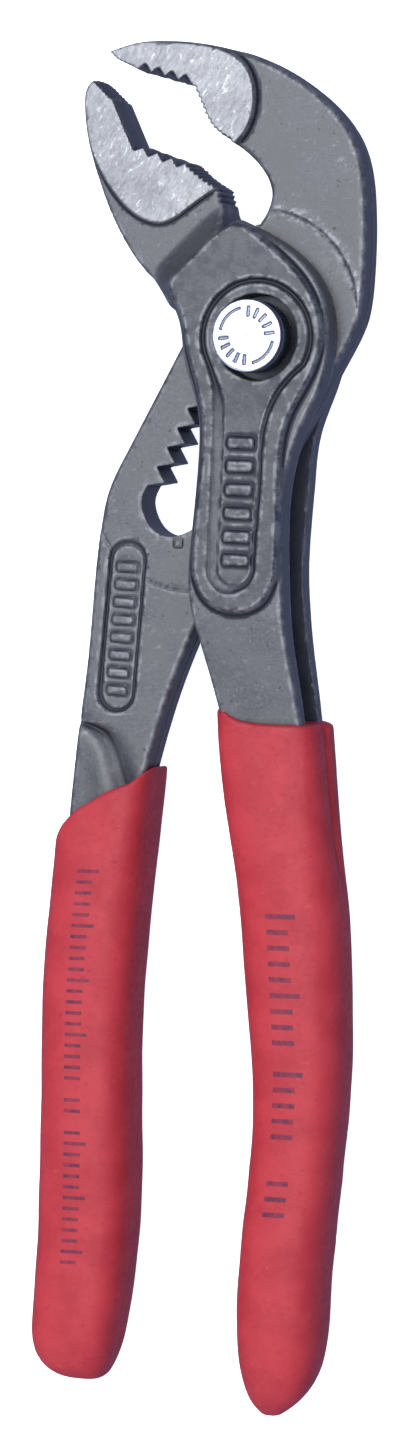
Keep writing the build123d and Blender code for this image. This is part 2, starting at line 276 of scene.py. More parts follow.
def solid(name, grid, volume, adaptivity, extra=None):
    """A mesh piece from the volume, with its normals and its edges and hollows marked."""
    band = 3 * grid.voxel
    vdb = openvdb.FloatGrid(band)
    vdb.copyFromArray(np.clip(volume, -band, band))
    points, tris, quads = vdb.convertToPolygons(0.0, adaptivity)
    points = points.astype(float) * grid.voxel + grid.low
    faces = [tuple(f[::-1]) for f in tris.tolist()] + [tuple(f[::-1]) for f in quads.tolist()]
    mesh = bpy.data.meshes.new(name)
    mesh.from_pydata((points * MM).tolist(), [], faces)
    mesh.validate()
    points = np.array([v.co for v in mesh.vertices], float) / MM

    normals = np.empty_like(points)
    for axis in range(3):
        offset = np.zeros(3)
        offset[axis] = 0.8 * grid.voxel
        normals[:, axis] = (sample(grid, volume, points + offset)
                            - sample(grid, volume, points - offset))
    normals /= np.maximum(np.linalg.norm(normals, axis=1), 1e-9)[:, None]
    first = mesh.polygons[0]
    if Vector(normals[first.vertices[0]]).dot(first.normal) < 0:
        mesh.flip_normals()
    for polygon in mesh.polygons:
        polygon.use_smooth = True
    mesh.normals_split_custom_set_from_vertices(normals.tolist())

    coarse = Grid(grid.low, grid.low + 1, grid.voxel * 2)
    small = volume[::2, ::2, ::2]
    bend = (sample(coarse, blurred(small), points) - sample(coarse, small, points)) / grid.voxel
    marks = {"bend": bend}
    marks.update(extra(points, normals) if extra else {})
    for label, values in marks.items():
        attribute = mesh.attributes.new(label, "FLOAT", "POINT")
        attribute.data.foreach_set("value", np.asarray(values, np.float32))
    piece = bpy.data.objects.new(name, mesh)
    bpy.context.scene.collection.objects.link(piece)
    print(name, "faces", len(mesh.polygons), "points", len(mesh.vertices))
    return piece


# ------------------------------------------------------------------ outlines

HOOK_TIP = (-17.9, 31.2)
HOOK_THROAT = (-3.6, 20.7)
JAW_TIP = (-19.4, 28.2)
JAW_HEEL = (-5.3, 16.3)
FINE_PITCH, FINE_DEPTH = 0.66, 0.3


def hook_edge():
    """Working edge of the hooked jaw, from its tip to its throat."""
    teeth = saw_edge((-14.4, 28.8), (-8.3, 27.0), 5, -0.85, 0.4)
    return [
        serrated([HOOK_TIP, (-16.7, 30.0), (-15.4, 29.4), (-14.4, 28.8)], 0.5, 0.1),
        teeth,
        serrated([(-8.3, 27.0), (-7.5, 25.2), (-6.2, 22.6), HOOK_THROAT], FINE_PITCH, FINE_DEPTH),
    ]


def tongue_loop():
    """The lever's outline, a little fuller along the straight tongue than the CAD part's."""
    half = TONGUE_HALF + TONGUE_FULLNESS
    right_top, right_end = on_tongue(-2, -half), on_tongue(29.5, -TONGUE_HALF)
    left_end, left_top = on_tongue(18, half), on_tongue(-3, half)
    return loop(
        *hook_edge(),
        curve([HOOK_THROAT, (-1.3, 18.7), (0.3, 15.4), (-1.9, 11.3), left_top]),
        [left_top, left_end],
        curve([left_end, on_tongue(20.5, half), (-18.4, -16.4), (-19.1, -19.4),
               (-19.7, -23.5), (-20.7, -34.0), (-22.4, -46.0), (-23.5, -57.0),
               (-24.7, -80.0), (-25.0, -96.0), (-26.0, -108.0)]),
        curve([(-26.0, -108.0), (-22.9, -111.8), (-19.7, -108.0)]),
        curve([(-19.7, -108.0), (-17.8, -96.0), (-17.5, -80.0), (-16.0, -57.0),
               (-13.6, -46.7), (-10.6, -37.3), right_end]),
        [right_end, right_top],
        curve([right_top, (10.2, 1.6), (10.95, 6.0), (11.15, 13.4), (9.9, 20.7),
               (5.6, 26.1), (-2.4, 30.6), (-9.3, 32.1), (-14.5, 32.1), HOOK_TIP]),
    )


def hook_face_loop():
    """The ground side face of the hooked jaw."""
    return loop(
        *hook_edge(),
        curve([HOOK_THROAT, (-2.6, 21.7), (-1.3, 25.4), (-2.2, 28.9), (-7.5, 31.5),
               (-13.0, 32.0), (-16.8, 31.8), HOOK_TIP]),
    )


def pocket_rim():
    """The round pocket in which the slot ends."""
    rim = [(20.3, 4.25), (21.9, 4.1), (23.2, 3.1), (24.2, 0.9), (23.9, -0.6), (22.6, -2.1),
           (20.6, SLOT_WALL)]
    return curve([on_tongue(along, across) for along, across in rim])


def slot_top():
    """The half round end of the slot by the jaws."""
    radius, middle = (RACK_TIP - SLOT_WALL) / 2, (RACK_TIP + SLOT_WALL) / 2
    return [on_tongue(SLOT_TOP + radius - radius * cos(a), middle + radius * sin(a))
            for a in np.linspace(-pi / 2, pi / 2, 16)]


def slot_loop():
    """The slot in the tongue, with its rack teeth."""
    side = []
    for k in range(-2, 8):
        root = (k + 0.5) * PITCH
        side += [on_tongue(root - 0.56 * PITCH, RACK_TIP), on_tongue(root, RACK_ROOT)]
    side.append(on_tongue(root + 0.44 * PITCH, RACK_TIP))
    top, end = slot_top(), pocket_rim()
    return loop(top, [top[-1], side[0]], side, [side[-1], end[0]], end, [end[-1], top[0]])


def lower_jaw_edge():
    """Working edge of the jaw on the box lever, from its tip to its heel."""
    return [
        serrated([JAW_TIP, (-18.0, 26.8), (-17.2, 26.0)], 0.5, -0.14),
        [(-17.2, 26.0), (-15.9, 23.0), (-14.8, 20.5), (-13.7, 20.8)],
        saw_edge((-13.7, 20.8), (-8.8, 19.0), 4, 0.75, 0.5),
        serrated([(-8.8, 19.0), (-7.4, 17.7), JAW_HEEL], FINE_PITCH, -FINE_DEPTH),
    ]


def neck_loop():
    """The solid neck between the two cheeks, with the wall that the opened tongue meets."""
    swing = pi - SLOT_ANGLE - OPEN_ANGLE
    clear = TONGUE_HALF + NECK_CLEARANCE
    foot, corner = [(x, (clear - x * cos(swing)) / sin(swing)) for x in (-10.1, -6.3)]
    return loop(
        *lower_jaw_edge(),
        serrated([JAW_HEEL, (-4.95, 15.2), (-4.7, 14.2)], FINE_PITCH, -FINE_DEPTH),
        curve([(-4.7, 14.2), (-4.4, 11.6), (-4.9, 8.9), corner]),
        [corner, foot],
        curve([foot, (-13.75, 7.5), (-16.7, 11.8), (-19.0, 17.2), (-20.2, 22.0),
               (-20.55, 25.5), (-20.0, 27.7), JAW_TIP]),
    )


def lower_jaw_face_loop():
    """The ground side face of the jaw on the box lever."""
    return loop(
        *lower_jaw_edge(),
        curve([JAW_HEEL, (-8.4, 14.3), (-11.8, 12.6), (-14.6, 13.5), (-17.7, 16.8),
               (-19.7, 20.6), (-20.4, 25.0), (-20.0, 27.6), JAW_TIP]),
    )


ARM_LEFT = [(-10.2, 4.4), (-9.05, 1.5), (-8.6, -2.0), (-7.15, -7.0), (-6.95, -13.0),
            (-7.85, -22.0), (-8.05, -27.0), (-6.65, -33.2), (-4.85, -40.0), (-3.1, -48.0),
            (-1.0, -65.0), (0.1, -79.0), (-0.9, -96.0), (-1.6, -107.0)]
ARM_RIGHT = [(4.0, -107.0), (4.7, -96.0), (6.4, -79.0), (6.0, -65.0), (5.15, -48.0),
             (4.25, -39.5), (3.0, -31.0), (2.7, -24.0)]
HANDLE_END = (0.9, -112.0)
CHEEK_TOP = (-2.6, 12.7)
FRONT_WAIST = [(3.1, -15.5), (4.6, -10.3), (7.2, -4.6), (7.9, 0.0)]
REAR_WAIST = [(3.35, -15.5), (4.0, -10.3), (5.9, -5.2), (7.2, 0.0)]


def cheek_loop(waist):
    """A cheek with its arm, down to the end of the handle."""
    return loop(
        curve(ARM_LEFT),
        curve([ARM_LEFT[-1], HANDLE_END, ARM_RIGHT[0]]),
        curve(ARM_RIGHT + waist + [(6.9, 5.2), (2.8, 9.8), CHEEK_TOP]),
        curve([CHEEK_TOP, (-7.6, 9.4), (-10.7, 6.3), ARM_LEFT[0]]),
    )


def bridge_loop():
    """The metal that joins the two cheeks inside the grip."""
    inset = 0.3
    left = [(x + inset, y) for x, y in ARM_LEFT[9:]]
    right = [(x - inset, y) for x, y in ARM_RIGHT[:5]]
    return loop(curve(left), [left[-1], right[0]], curve(right), [right[-1], left[0]])


def pad_loop():
    """Foot of the raised pad round the button and down the arm."""
    return loop(
        curve([(-9.3, 3.3), (-8.8, 1.5), (-8.1, -2.0), (-6.8, -7.0), (-6.65, -13.0),
               (-7.6, -22.0), (-7.7, -25.2)]),
        curve([(-7.7, -25.2), (-6.2, -28.3), (-2.6, -29.8), (0.9, -28.6), (2.5, -25.6)]),
        curve([(2.5, -25.6), (2.95, -16.0), (3.9, -9.0), (6.4, -4.4), (7.6, 0.6),
               (6.2, 5.2), (1.8, 10.0), (-2.4, 12.2), (-6.0, 10.0), (-9.0, 7.2)]),
        curve([(-9.0, 7.2), (-9.9, 6.2), (-9.9, 5.1), (-9.3, 3.3)]),
    )


def keyhole_loop():
    """Line of the incised ring, which runs on down the arm round the sunken panel."""
    ring = arc(6.0, -30, 194)
    end = arc(2.3, 180, 360) + (-2.72, -24.5)
    return loop(
        ring,
        curve([ring[-1], (-5.1, -3.4), (-4.4, -5.6), (-4.25, -9.0), (-4.5, -15.0), end[0]]),
        end,
        curve([end[-1], (-0.1, -20.0), (0.35, -14.8), (0.9, -9.2), (2.0, -6.5), (3.7, -4.3),
               ring[0]]),
    )


# ------------------------------------------------------------------ the levers

PAD_TOP = RIM - 0.02
WINDOW_REACH = 3.0
SWEPT_DEPTH = 0.13
KEYHOLE_DEPTH, PANEL_SINK = 0.36, 0.24
ARM_MARKS, ARM_MARK_PITCH, ARM_MARK_RISE = 6, 2.5, 0.24
TONGUE_MARKS, TONGUE_MARK_PITCH, TONGUE_MARK_RISE = 8, 1.92, 0.14


def arm_fall(y):
    """How far the outer faces of the arm fall away towards the handle and inside the grip."""
    return 1.1 * np.clip((-29.5 - y) / 11.5, 0, 1) + 1.3 * np.clip((-41.0 - y) / 8.0, 0, 1)


def box_lever_volume(grid):
    """The lower jaw, neck, two cheeks and arm, with the window for the tongue and the bores."""
    x, y = grid.x, grid.y
    front, rear = grid.plan(cheek_loop(FRONT_WAIST)), grid.plan(cheek_loop(REAR_WAIST))
    neck, bridge = grid.plan(neck_loop()), grid.plan(bridge_loop())
    jaw, pad = grid.plan(lower_jaw_face_loop()), grid.plan(pad_loop())
    keyhole = grid.plan(keyhole_loop())
    radius = np.hypot(x, y)

    neck_level = MID + NECK_HALF_THICK
    slope = ramp(front / 2.0)
    plain = (BODY_HEIGHT - arm_fall(y)) * (1 - slope) + neck_level * slope
    plain = plain + (MID + JAW_HALF_THICK - neck_level) * (1 - ramp(jaw / 0.45 + 0.25))
    plain = plain - 0.04 * (1 - wobble(x, y, 3, 2.2)) * ramp(jaw / 0.5)

    top = plain + (PAD_TOP - BODY_HEIGHT) * (1 - ramp(pad / 0.8 + 1.0))
    # towards the neck the pad falls to it in one soft slope
    towards_neck = ramp((y - 1.5) / 4.0) * ramp((1.5 - x) / 4.0) * ramp(2 * jaw)
    share = np.clip((pad + 0.35) / 3.3, 0, 1)
    fallen = neck_level + (PAD_TOP - neck_level) * (1 - share) ** 1.7
    top = top + (fallen - top) * towards_neck
    inside = ramp(-keyhole / 0.6) * ramp((-4.0 - y) / 5.0)
    top = top - PANEL_SINK * inside
    left_leg = ramp((-3.0 - y) / 5.0) * ramp((-0.8 - x) / 3.8)
    top = top - (KEYHOLE_DEPTH - 0.08 * left_leg) * groove(keyhole, 0.36 + 0.34 * left_leg)
    for i in range(ARM_MARKS):
        mark = bar(x, y, -1.75 - 0.12 * i, -11.2 - ARM_MARK_PITCH * i, 1.45, 0.55, 0.3, -0.04)
        top = top + ARM_MARK_RISE * (1 - ramp(mark / 0.3 + 0.5)) - 0.1 * groove(mark - 0.3, 0.3)
    dents = np.clip(wobble(x, y, 11, 0.9) * wobble(x, y, 12, 1.1) - 0.62, 0, 1)
    top = top - 0.12 * dents * ramp((12 - radius) / 3)
    bottom = BODY_HEIGHT - plain
    edge = 0.12 + 0.3 * ramp(jaw / 0.8)
    shoulder = 0.9 + 1.6 * ramp((-8.5 - x) / 1.5)
    # the window ends a little way outside the cheeks, clear of their fillets to the neck
    beyond = np.minimum(front, rear) - WINDOW_REACH

    def layer(z):
        side = join(front if z > MID else rear, neck, shoulder)
        height = abs(z - MID)
        draft = 0.045 * (height - WINDOW_HALF)
        side = side + 0.02 + draft
        shape = cut(cut(side, z - top, edge), bottom - z, edge)
        window = np.maximum(np.maximum(height - WINDOW_HALF, -np.minimum(neck, bridge)), beyond)
        shape = cut(shape, -window, 0.06)
        if z > LEDGE_TOP:
            shape = cut(shape, BORE_RADIUS - radius, 0.12)
        elif z > MID:
            shape = np.maximum(shape, STEM_BORE - radius)
        else:
            bore = RECESS_RADIUS if z > RECESS_FLOOR else JOURNAL_BORE
            shape = cut(shape, bore - radius, 0.15)
        return shape

    return grid.fill(layer)


def swept_face(x, y):
    """Distance to the rim of the shallow face that the cheeks run over, negative inside."""
    along = -x * sin(SLOT_ANGLE) - y * cos(SLOT_ANGLE)
    across = -x * cos(SLOT_ANGLE) + y * sin(SLOT_ANGLE)
    lower = np.maximum(np.hypot(np.maximum(along - SWEEP_END, 0), across) - BOSS_SWEEP, -along)
    return np.minimum(np.hypot(x + 0.95, y - 2.87) - 11.0, lower)


def tongue_lever_volume(grid):
    """The hooked jaw, the tongue with its toothed slot, and the handle core."""
    x, y = grid.x, grid.y
    side_plan, face = grid.plan(tongue_loop()), grid.plan(hook_face_loop())
    slot = grid.plan(slot_loop())
    panel = capsule(x, y, (-15.85, -23.75), (-17.2, -38.2), 1.95)
    along = -x * sin(SLOT_ANGLE) - y * cos(SLOT_ANGLE)
    swept = swept_face(x, y)
    off_panel = ramp(panel / 0.3)

    half = TONGUE_HALF_THICK + (JAW_HALF_THICK - TONGUE_HALF_THICK) * (1 - ramp(face / 0.6 + 0.2))
    level = ramp(swept / 0.3 + 0.5)
    rim = 0.14 * groove(swept - 0.1, 0.26) * ramp((along - 18.0) / 4.0)
    rough = ramp(swept / 1.0) * ramp(face / 0.6)
    half = half - 0.03 * (1 - wobble(x, y, 5, 2.5)) * rough
    rear = half - SWEPT_DEPTH * (1 - level) - rim
    front = half - SWEPT_DEPTH * (1 - level * off_panel) - rim * off_panel
    shaded = ramp((-22.5 - x - 0.35 * (y + 22.0)) / 3.0) + ramp((y + 23.5) / 1.5)
    front = front - 0.26 * groove(panel, 0.26 + 0.16 * shaded) - 0.1 * ramp(-panel / 0.4)
    for i in range(TONGUE_MARKS):
        mark = bar(x, y, -15.95 - 0.18 * i, -24.5 - TONGUE_MARK_PITCH * i, 1.15, 0.4, 0.22, -0.07)
        raised = TONGUE_MARK_RISE * (1 - ramp(mark / 0.26 + 0.5))
        front = front + raised - 0.08 * groove(mark - 0.24, 0.26)
    square = bar(x, y, -10.1, -21.9, 0.45, 0.45, 0.1)
    front = front - 0.12 * groove(square, 0.16)
    # the forging dips in a slanting valley and swells again just above the grip
    bed = curve([(-16.2, -49.0), (-16.9, -46.9), (-17.6, -44.6), (-18.9, -42.6), (-21.5, -41.5)])
    crease = (x - np.interp(y, bed[:, 1], bed[:, 0])) * 0.85
    front = front - 0.85 * np.exp(-(crease / 1.0) ** 2) * ramp((-40.2 - y) / 2.6)
    front = front - (0.25 * ramp(-crease / 1.6) * ramp((-43.0 - y) / 4.0)
                     * ramp((-18.5 - x) / 2.5))
    edge = 0.1 + 0.45 * ramp(face / 0.8)

    def layer(z):
        height = abs(z - MID)
        outer = ramp((side_plan + 1.2) / 0.8)
        flash = 0.09 * groove(height, 0.3) * outer * ramp(face / 1.0)
        side = side_plan + 0.1 + 0.03 * height - flash
        shape = cut(side, height - (front if z > MID else rear), edge)
        return cut(shape, -slot, 0.08)

    return grid.fill(layer)


def steel_marks(points, normals):
    """Marks the ground side faces of the jaws, which stand proud of the forging."""
    height = np.abs(points[:, 2] - MID)
    flat = ramp((np.abs(normals[:, 2]) - 0.8) / 0.15)
    level = (ramp((height - JAW_HALF_THICK + 0.12) / 0.08)
             * ramp((JAW_HALF_THICK + 0.1 - height) / 0.05))
    above = ramp((points[:, 1] - 11.5) / 0.5)
    left = ramp((0.5 - points[:, 0]) / 0.5)
    return {"ground": flat * level * above * left}


def tongue_lever_marks(points, normals):
    """Marks where the cheek has rubbed along the rim of the swept face as well."""
    marks = steel_marks(points, normals)
    rim = swept_face(points[:, 0], points[:, 1]) - 0.1
    marks["rub"] = groove(rim, 0.8) * ramp((points[:, 1] - 1.0) / 3.0) * (normals[:, 2] > 0.8)
    return marks


def box_lever_marks(points, normals):
    """Marks the dull pad, and the inside of the window between the cheeks where the material paints
    shade, as well.
    """
    marks = steel_marks(points, normals)
    marks["dull"] = ramp((points[:, 2] - BODY_HEIGHT - 0.2) / 0.3)
    # the inside of the window between the cheeks, which the material darkens as painted shade
    depth = WINDOW_HALF + 0.08 - np.abs(points[:, 2] - MID)
    marks["window_painted_shade"] = ramp(depth / 0.1) * ramp((8.0 - points[:, 1]) / 3.0)
    return marks


def make_levers():
    """Both levers."""
    jaw_top = 33.2
    handle_end = -113.0
    box_grid = Grid((-21.8, handle_end, -0.6), (9.0, 29.2, RIM + 0.6), VOXEL)
    box = solid("forged_box_lever", box_grid, box_lever_volume(box_grid), 0.06, box_lever_marks)
    tongue_grid = Grid((-27.2, handle_end, MID - 3.9), (12.2, jaw_top, MID + 3.9), VOXEL)
    tongue = solid("forged_tongue_lever", tongue_grid, tongue_lever_volume(tongue_grid), 0.06,
                   tongue_lever_marks)
    return box, tongue


# ------------------------------------------------------------------ the grips

# sections down a grip: y, centre x, half width, half thickness
TONGUE_GRIP = [(-43.0, -17.45, 4.95, 5.2), (-50.0, -18.6, 5.3, 5.45), (-58.0, -19.45, 5.45, 5.5),
               (-72.0, -20.75, 5.4, 5.5), (-88.0, -21.0, 5.4, 5.5), (-100.0, -21.5, 5.45, 5.5),
               (-108.0, -22.4, 5.15, 5.2), (-112.3, -22.6, 4.3, 4.3), (-114.0, -22.1, 3.0, 3.0),
               (-114.9, -21.2, 1.0, 1.0)]
BOX_GRIP = [(-39.0, 0.1, 5.85, 5.45), (-43.5, 0.4, 6.0, 5.5), (-54.0, 1.55, 5.85, 5.5),
            (-62.0, 2.5, 5.95, 5.5), (-69.0, 2.95, 5.8, 5.5), (-79.5, 3.4, 5.3, 5.5),
            (-92.0, 2.45, 5.05, 5.5), (-103.0, 1.4, 5.05, 5.5), (-110.5, 1.1, 4.7, 4.8),
             (-113.6, 0.8, 3.9, 3.9), (-115.7, 0.35, 2.7, 2.7), (-117.7, -0.2, 0.5, 0.5)]

MOUTH_SQUARENESS = 4.15
# how far the coating reaches into the core of its lever, so that no gap shows round the steel
HUG = 0.12


def section_at(sections, y):
    """Centre, half width and half thickness of a grip at each y."""
    table = np.array(sections)
    values = []
    for column in (1, 2, 3):
        line = curve(table[:, [0, column]], 0.4)
        values.append(np.interp(-y, -line[:, 0], line[:, 1]))
    return values


def grip_volume(grid, sections, squareness, mouth, crease, lever):
    """A dipped sleeve: a rounded form, cut off along its mouth and hollow for the lever."""
    x, y = grid.x, grid.y
    centre, half_width, half_thick = section_at(sections, grid.y)
    across = x - centre
    uneven = 0.06 * wobble(x, y, 21, 2.4) + 0.035 * wobble(x, y, 22, 0.8)
    start, end = sections[0][0], sections[-1][0]
    near_mouth = ramp((y - start + 20.0) / 16.0)
    power = squareness + (MOUTH_SQUARENESS - squareness) * near_mouth

    def layer(z):
        rise = z - MID
        ring = ((np.abs(across) / half_width) ** power
                + (np.abs(rise) / half_thick) ** power) ** (1 / power)
        body = (ring - 1) * np.minimum(half_width, half_thick)
        body = cut(body, end + 0.25 - y, 0.5)
        body = body + crease(across, y, rise) + uneven + 0.15
        return cut(body, mouth(x, y, rise), 0.42)

    volume = grid.fill(layer)
    return np.maximum(volume, -(lever + HUG))


def tongue_grip_mouth(x, y, rise):
    """Distance beyond the slanting mouth of the left grip."""
    rim = np.interp(x, [-24.0, -22.7, -21.0, -17.8, -14.9, -12.9, -11.2, -10.0],
                    [-54.2, -52.5, -50.8, -49.1, -48.0, -46.0, -44.5, -43.9])
    return (y - rim) * 0.84 + 0.12 * wobble(x * 1.6, rise * 2.2, 31, 1.6)


def box_grip_mouth(x, y, rise):
    """Distance beyond the mouth of the right grip, notched at the gap between the cheeks."""
    rim = np.interp(x, [-6.0, -4.9, -4.3, -3.4, -2.3, -0.5, 3.7, 5.6],
                    [-40.0, -39.6, -39.7, -40.4, -40.9, -41.2, -41.3, -41.5])
    notch = 1.3 * np.exp(-((rise + 0.6) / 0.9) ** 2) * ramp((x - 3.0) / 2.0)
    return y - rim + notch + 0.07 * wobble(x * 1.8, rise * 2.0, 33, 1.3)


def tongue_grip_crease(across, y, rise):
    """The plastic lies closer to the metal just under its slanting mouth."""
    near = np.clip((y + 56.0) / 10.0, 0, 1)
    return 0.35 * near * groove(rise - 5.5, 5.0) * ramp((2.0 - across) / 4.0)


def box_grip_crease(across, y, rise):
    """The plastic sinks into the gap between the cheeks and fills out again lower down."""
    fade = ramp((y + 61.0) / 14.0)
    right = 1.25 * np.exp(-((rise - 0.1) / 0.65) ** 2) * ramp((across - 3.0) / 1.5)
    left = 0.4 * np.exp(-(rise / 0.8) ** 2) * ramp((-across - 3.5) / 1.5)
    return fade * (right + left)


def grip_marks(sections, start):
    """Places for the printed scale: along the grip and across it, in millimetres."""

    def marks(points, normals):
        centre, _, _ = section_at(sections, points[:, 1])
        return {"scale_along": start - points[:, 1],
                "scale_across": points[:, 0] - centre,
                "front": normals[:, 2]}
    return marks


def make_grips():
    """Both grips, each hollow where the core of its lever runs in it."""
    tongue_grid = Grid((-30.2, -116.2, -0.9), (-9.2, -41.5, BODY_HEIGHT + 0.9), GRIP_VOXEL)
    side = tongue_grid.plan(tongue_loop())
    core = tongue_grid.fill(lambda z: np.maximum(side, abs(z - MID) - TONGUE_HALF_THICK))
    volume = grip_volume(tongue_grid, TONGUE_GRIP, 3.0, tongue_grip_mouth, tongue_grip_crease,
                         core)
    tongue = solid("dipped_grip_left", tongue_grid, volume, 0.02, grip_marks(TONGUE_GRIP, -57.0))

    box_grid = Grid((-7.6, -118.6, -0.9), (11.2, -37.0, BODY_HEIGHT + 0.9), GRIP_VOXEL)
    cheek, bridge = box_grid.plan(cheek_loop(FRONT_WAIST)), box_grid.plan(bridge_loop())
    half = MID - arm_fall(box_grid.y)

    def core_layer(z):
        height = abs(z - MID)
        cheeks = np.maximum(np.maximum(cheek, height - half), WINDOW_HALF - height)
        return np.minimum(cheeks, np.maximum(bridge, height - WINDOW_HALF - 0.2))

    volume = grip_volume(box_grid, BOX_GRIP, 2.7, box_grip_mouth, box_grip_crease,
                         box_grid.fill(core_layer))
    box = solid("dipped_grip_right", box_grid, volume, 0.02, grip_marks(BOX_GRIP, -61.0))
    return box, tongue


# ------------------------------------------------------------------ button and spring

BUTTON_RADIUS = 3.85
BUTTON_TOP = 15.3
BUTTON_SKIRT = WASHER_TOP + PRESS + 0.1
BUTTON_ROOF = 1.6
BUTTON_INNER = 3.25
SPIGOT_RADIUS = 1.7
STAMP_DEPTH = 0.2
TICKS, TICK_ANGLE = 5, 20


def button_volume(grid):
    """A turned cup with a flat bright face, two stamped arcs and two rows of stamped ticks."""
    x, y = grid.x, grid.y
    radius = np.hypot(x, y)
    angle = np.degrees(np.arctan2(y, x))
    top = BUTTON_TOP - 0.1 * (radius / BUTTON_RADIUS) ** 2
    for middle in (135.0, -45.0):
        away = np.abs((angle - middle + 180) % 360 - 180)
        band = np.maximum(np.abs(radius - 2.95) - 0.13, (away - 32) * radius * pi / 180)
        top = top - STAMP_DEPTH * (1 - ramp(band / 0.12 + 0.5))
        for i in range(TICKS):
            tick = radians(middle + 90 + (i - TICKS // 2) * TICK_ANGLE)
            mark = bar(x, y, 2.55 * cos(tick), 2.55 * sin(tick), 0.55, 0.16, 0.12, tick)
            top = top - STAMP_DEPTH * (1 - ramp(mark / 0.12 + 0.5))
    top = top - 0.05 * (1 - ramp(radius / 0.14 - 0.2))

    def layer(z):
        shape = cut(radius - BUTTON_RADIUS, z - top, 0.22)
        shape = cut(shape, BUTTON_SKIRT - z, 0.1)
        groove_depth = 0.12 * groove(z - (BUTTON_TOP - 1.0), 0.18)
        shape = np.maximum(shape, radius - BUTTON_RADIUS + groove_depth)
        if z < BUTTON_TOP - BUTTON_ROOF:
            shape = np.maximum(shape, BUTTON_INNER - radius)
        if z < BUTTON_TOP - 0.5:
            shape = np.maximum(shape, SPIGOT_RADIUS - radius)
        return shape

    return grid.fill(layer)


def make_button():
    """The button, with its stamped marks and its wall marked for the material's painted shade."""
    reach = BUTTON_RADIUS + 0.4
    grid = Grid((-reach, -reach, BUTTON_SKIRT - 0.3), (reach, reach, BUTTON_TOP + 0.3),
                BUTTON_VOXEL)

    def marks(points, normals):
        # the wall is marked for painted shade in the material
        return {"stamp": ramp((BUTTON_TOP - 0.1 - points[:, 2]) / 0.08),
                "wall": ramp((0.6 - normals[:, 2]) / 0.4)}

    return solid("stamped_button", grid, button_volume(grid), 0.03, marks)


SPRING_WIRE = 0.5
SPRING_RADIUS = 2.95
SPRING_LOW = WASHER_TOP
SPRING_HIGH = BUTTON_TOP - BUTTON_ROOF


def make_spring():
    """Compression spring with closed end turns."""
    turns, closed_turns, sides, per_turn = 4.5, 0.7, 12, 36
    steps = int(turns * per_turn)
    wire = SPRING_WIRE / 2
    seen = 0.96 * wire
    low, high = SPRING_LOW + wire, SPRING_HIGH - wire
    verts, faces = [], []
    for i in range(steps + 1):
        turn = i / per_turn
        share = np.clip((turn - closed_turns) / (turns - 2 * closed_turns), 0, 1)
        height = low + (high - low) * share
        a = 2 * pi * turn
        for j in range(sides):
            b = 2 * pi * j / sides
            r = SPRING_RADIUS + seen * cos(b)
            verts.append((r * cos(a) * MM, r * sin(a) * MM, (height + seen * sin(b)) * MM))
    for i in range(steps):
        for j in range(sides):
            k = (j + 1) % sides
            faces.append((i * sides + j, i * sides + k, (i + 1) * sides + k, (i + 1) * sides + j))
    faces.append(tuple(range(sides))[::-1])
    faces.append(tuple(steps * sides + j for j in range(sides)))
    mesh = bpy.data.meshes.new("coil_spring")
    mesh.from_pydata(verts, [], faces)
    mesh.shade_smooth()
    piece = bpy.data.objects.new("coil_spring", mesh)
    bpy.context.scene.collection.objects.link(piece)
    return piece


# ------------------------------------------------------------------ materials

class Nodes:
    """Short names for building a material's nodes."""

    def __init__(self, name):
        self.material = bpy.data.materials.new(name)
        self.material.use_nodes = True
        self.tree = self.material.node_tree
        self.shader = self.tree.nodes["Principled BSDF"]
        self.coords = self.tree.nodes.new("ShaderNodeTexCoord").outputs["Object"]

    def link(self, source, target):
        self.tree.links.new(source, target)

    def put(self, socket, value):
        """Links an output to the socket, or sets the socket to a value or colour."""
        if isinstance(value, bpy.types.NodeSocket):
            self.link(value, socket)
        elif isinstance(value, (tuple, list)) and len(value) == 3 and socket.type == "RGBA":
            socket.default_value = (*value, 1)
        else:
            socket.default_value = value

    def mapped(self, scale=(1, 1, 1), turn=0.0):
        """Coordinates that stretch a pattern, turned in the plan of the tool."""
        node = self.tree.nodes.new("ShaderNodeMapping")
        node.vector_type = "TEXTURE"
        self.link(self.coords, node.inputs["Vector"])
        node.inputs["Rotation"].default_value = (0, 0, turn)
        node.inputs["Scale"].default_value = scale
        return node.outputs["Vector"]

    def noise(self, per_mm, detail=3.0, rough=0.55, vector=None, distort=0.0):
        """Noise with the given number of features in a millimetre."""
        node = self.tree.nodes.new("ShaderNodeTexNoise")
        self.link(vector or self.coords, node.inputs["Vector"])
        node.inputs["Scale"].default_value = per_mm / MM
        node.inputs["Detail"].default_value = detail
        node.inputs["Roughness"].default_value = rough
        node.inputs["Distortion"].default_value = distort
        return node.outputs["Fac"]

    def mark(self, label):
        """The value that the mesh carries under this name."""
        node = self.tree.nodes.new("ShaderNodeAttribute")
        node.attribute_name = label
        return node.outputs["Fac"]

    def math(self, what, a, b=0.0, clamp=False):
        node = self.tree.nodes.new("ShaderNodeMath")
        node.operation = what
        node.use_clamp = clamp
        self.put(node.inputs[0], a)
        self.put(node.inputs[1], b)
        return node.outputs[0]

    def between(self, value, low, high, out_low=0.0, out_high=1.0):
        """Goes smoothly from one output to the other as the value goes from low to high."""
        node = self.tree.nodes.new("ShaderNodeMapRange")
        node.interpolation_type = "SMOOTHSTEP"
        self.put(node.inputs["Value"], value)
        for label, number in (("From Min", low), ("From Max", high),
                              ("To Min", out_low), ("To Max", out_high)):
            node.inputs[label].default_value = number
        return node.outputs["Result"]

    def mix(self, share, a, b):
        node = self.tree.nodes.new("ShaderNodeMix")
        node.data_type = "RGBA"
        self.put(node.inputs["Factor"], share)
        self.put(node.inputs["A"], a)
        self.put(node.inputs["B"], b)
        return node.outputs["Result"]

    def bump(self, height, strength, distance_mm, after=None):
        node = self.tree.nodes.new("ShaderNodeBump")
        node.inputs["Strength"].default_value = strength
        node.inputs["Distance"].default_value = distance_mm * MM
        self.link(height, node.inputs["Height"])
        if after:
            self.link(after, node.inputs["Normal"])
        return node.outputs["Normal"]


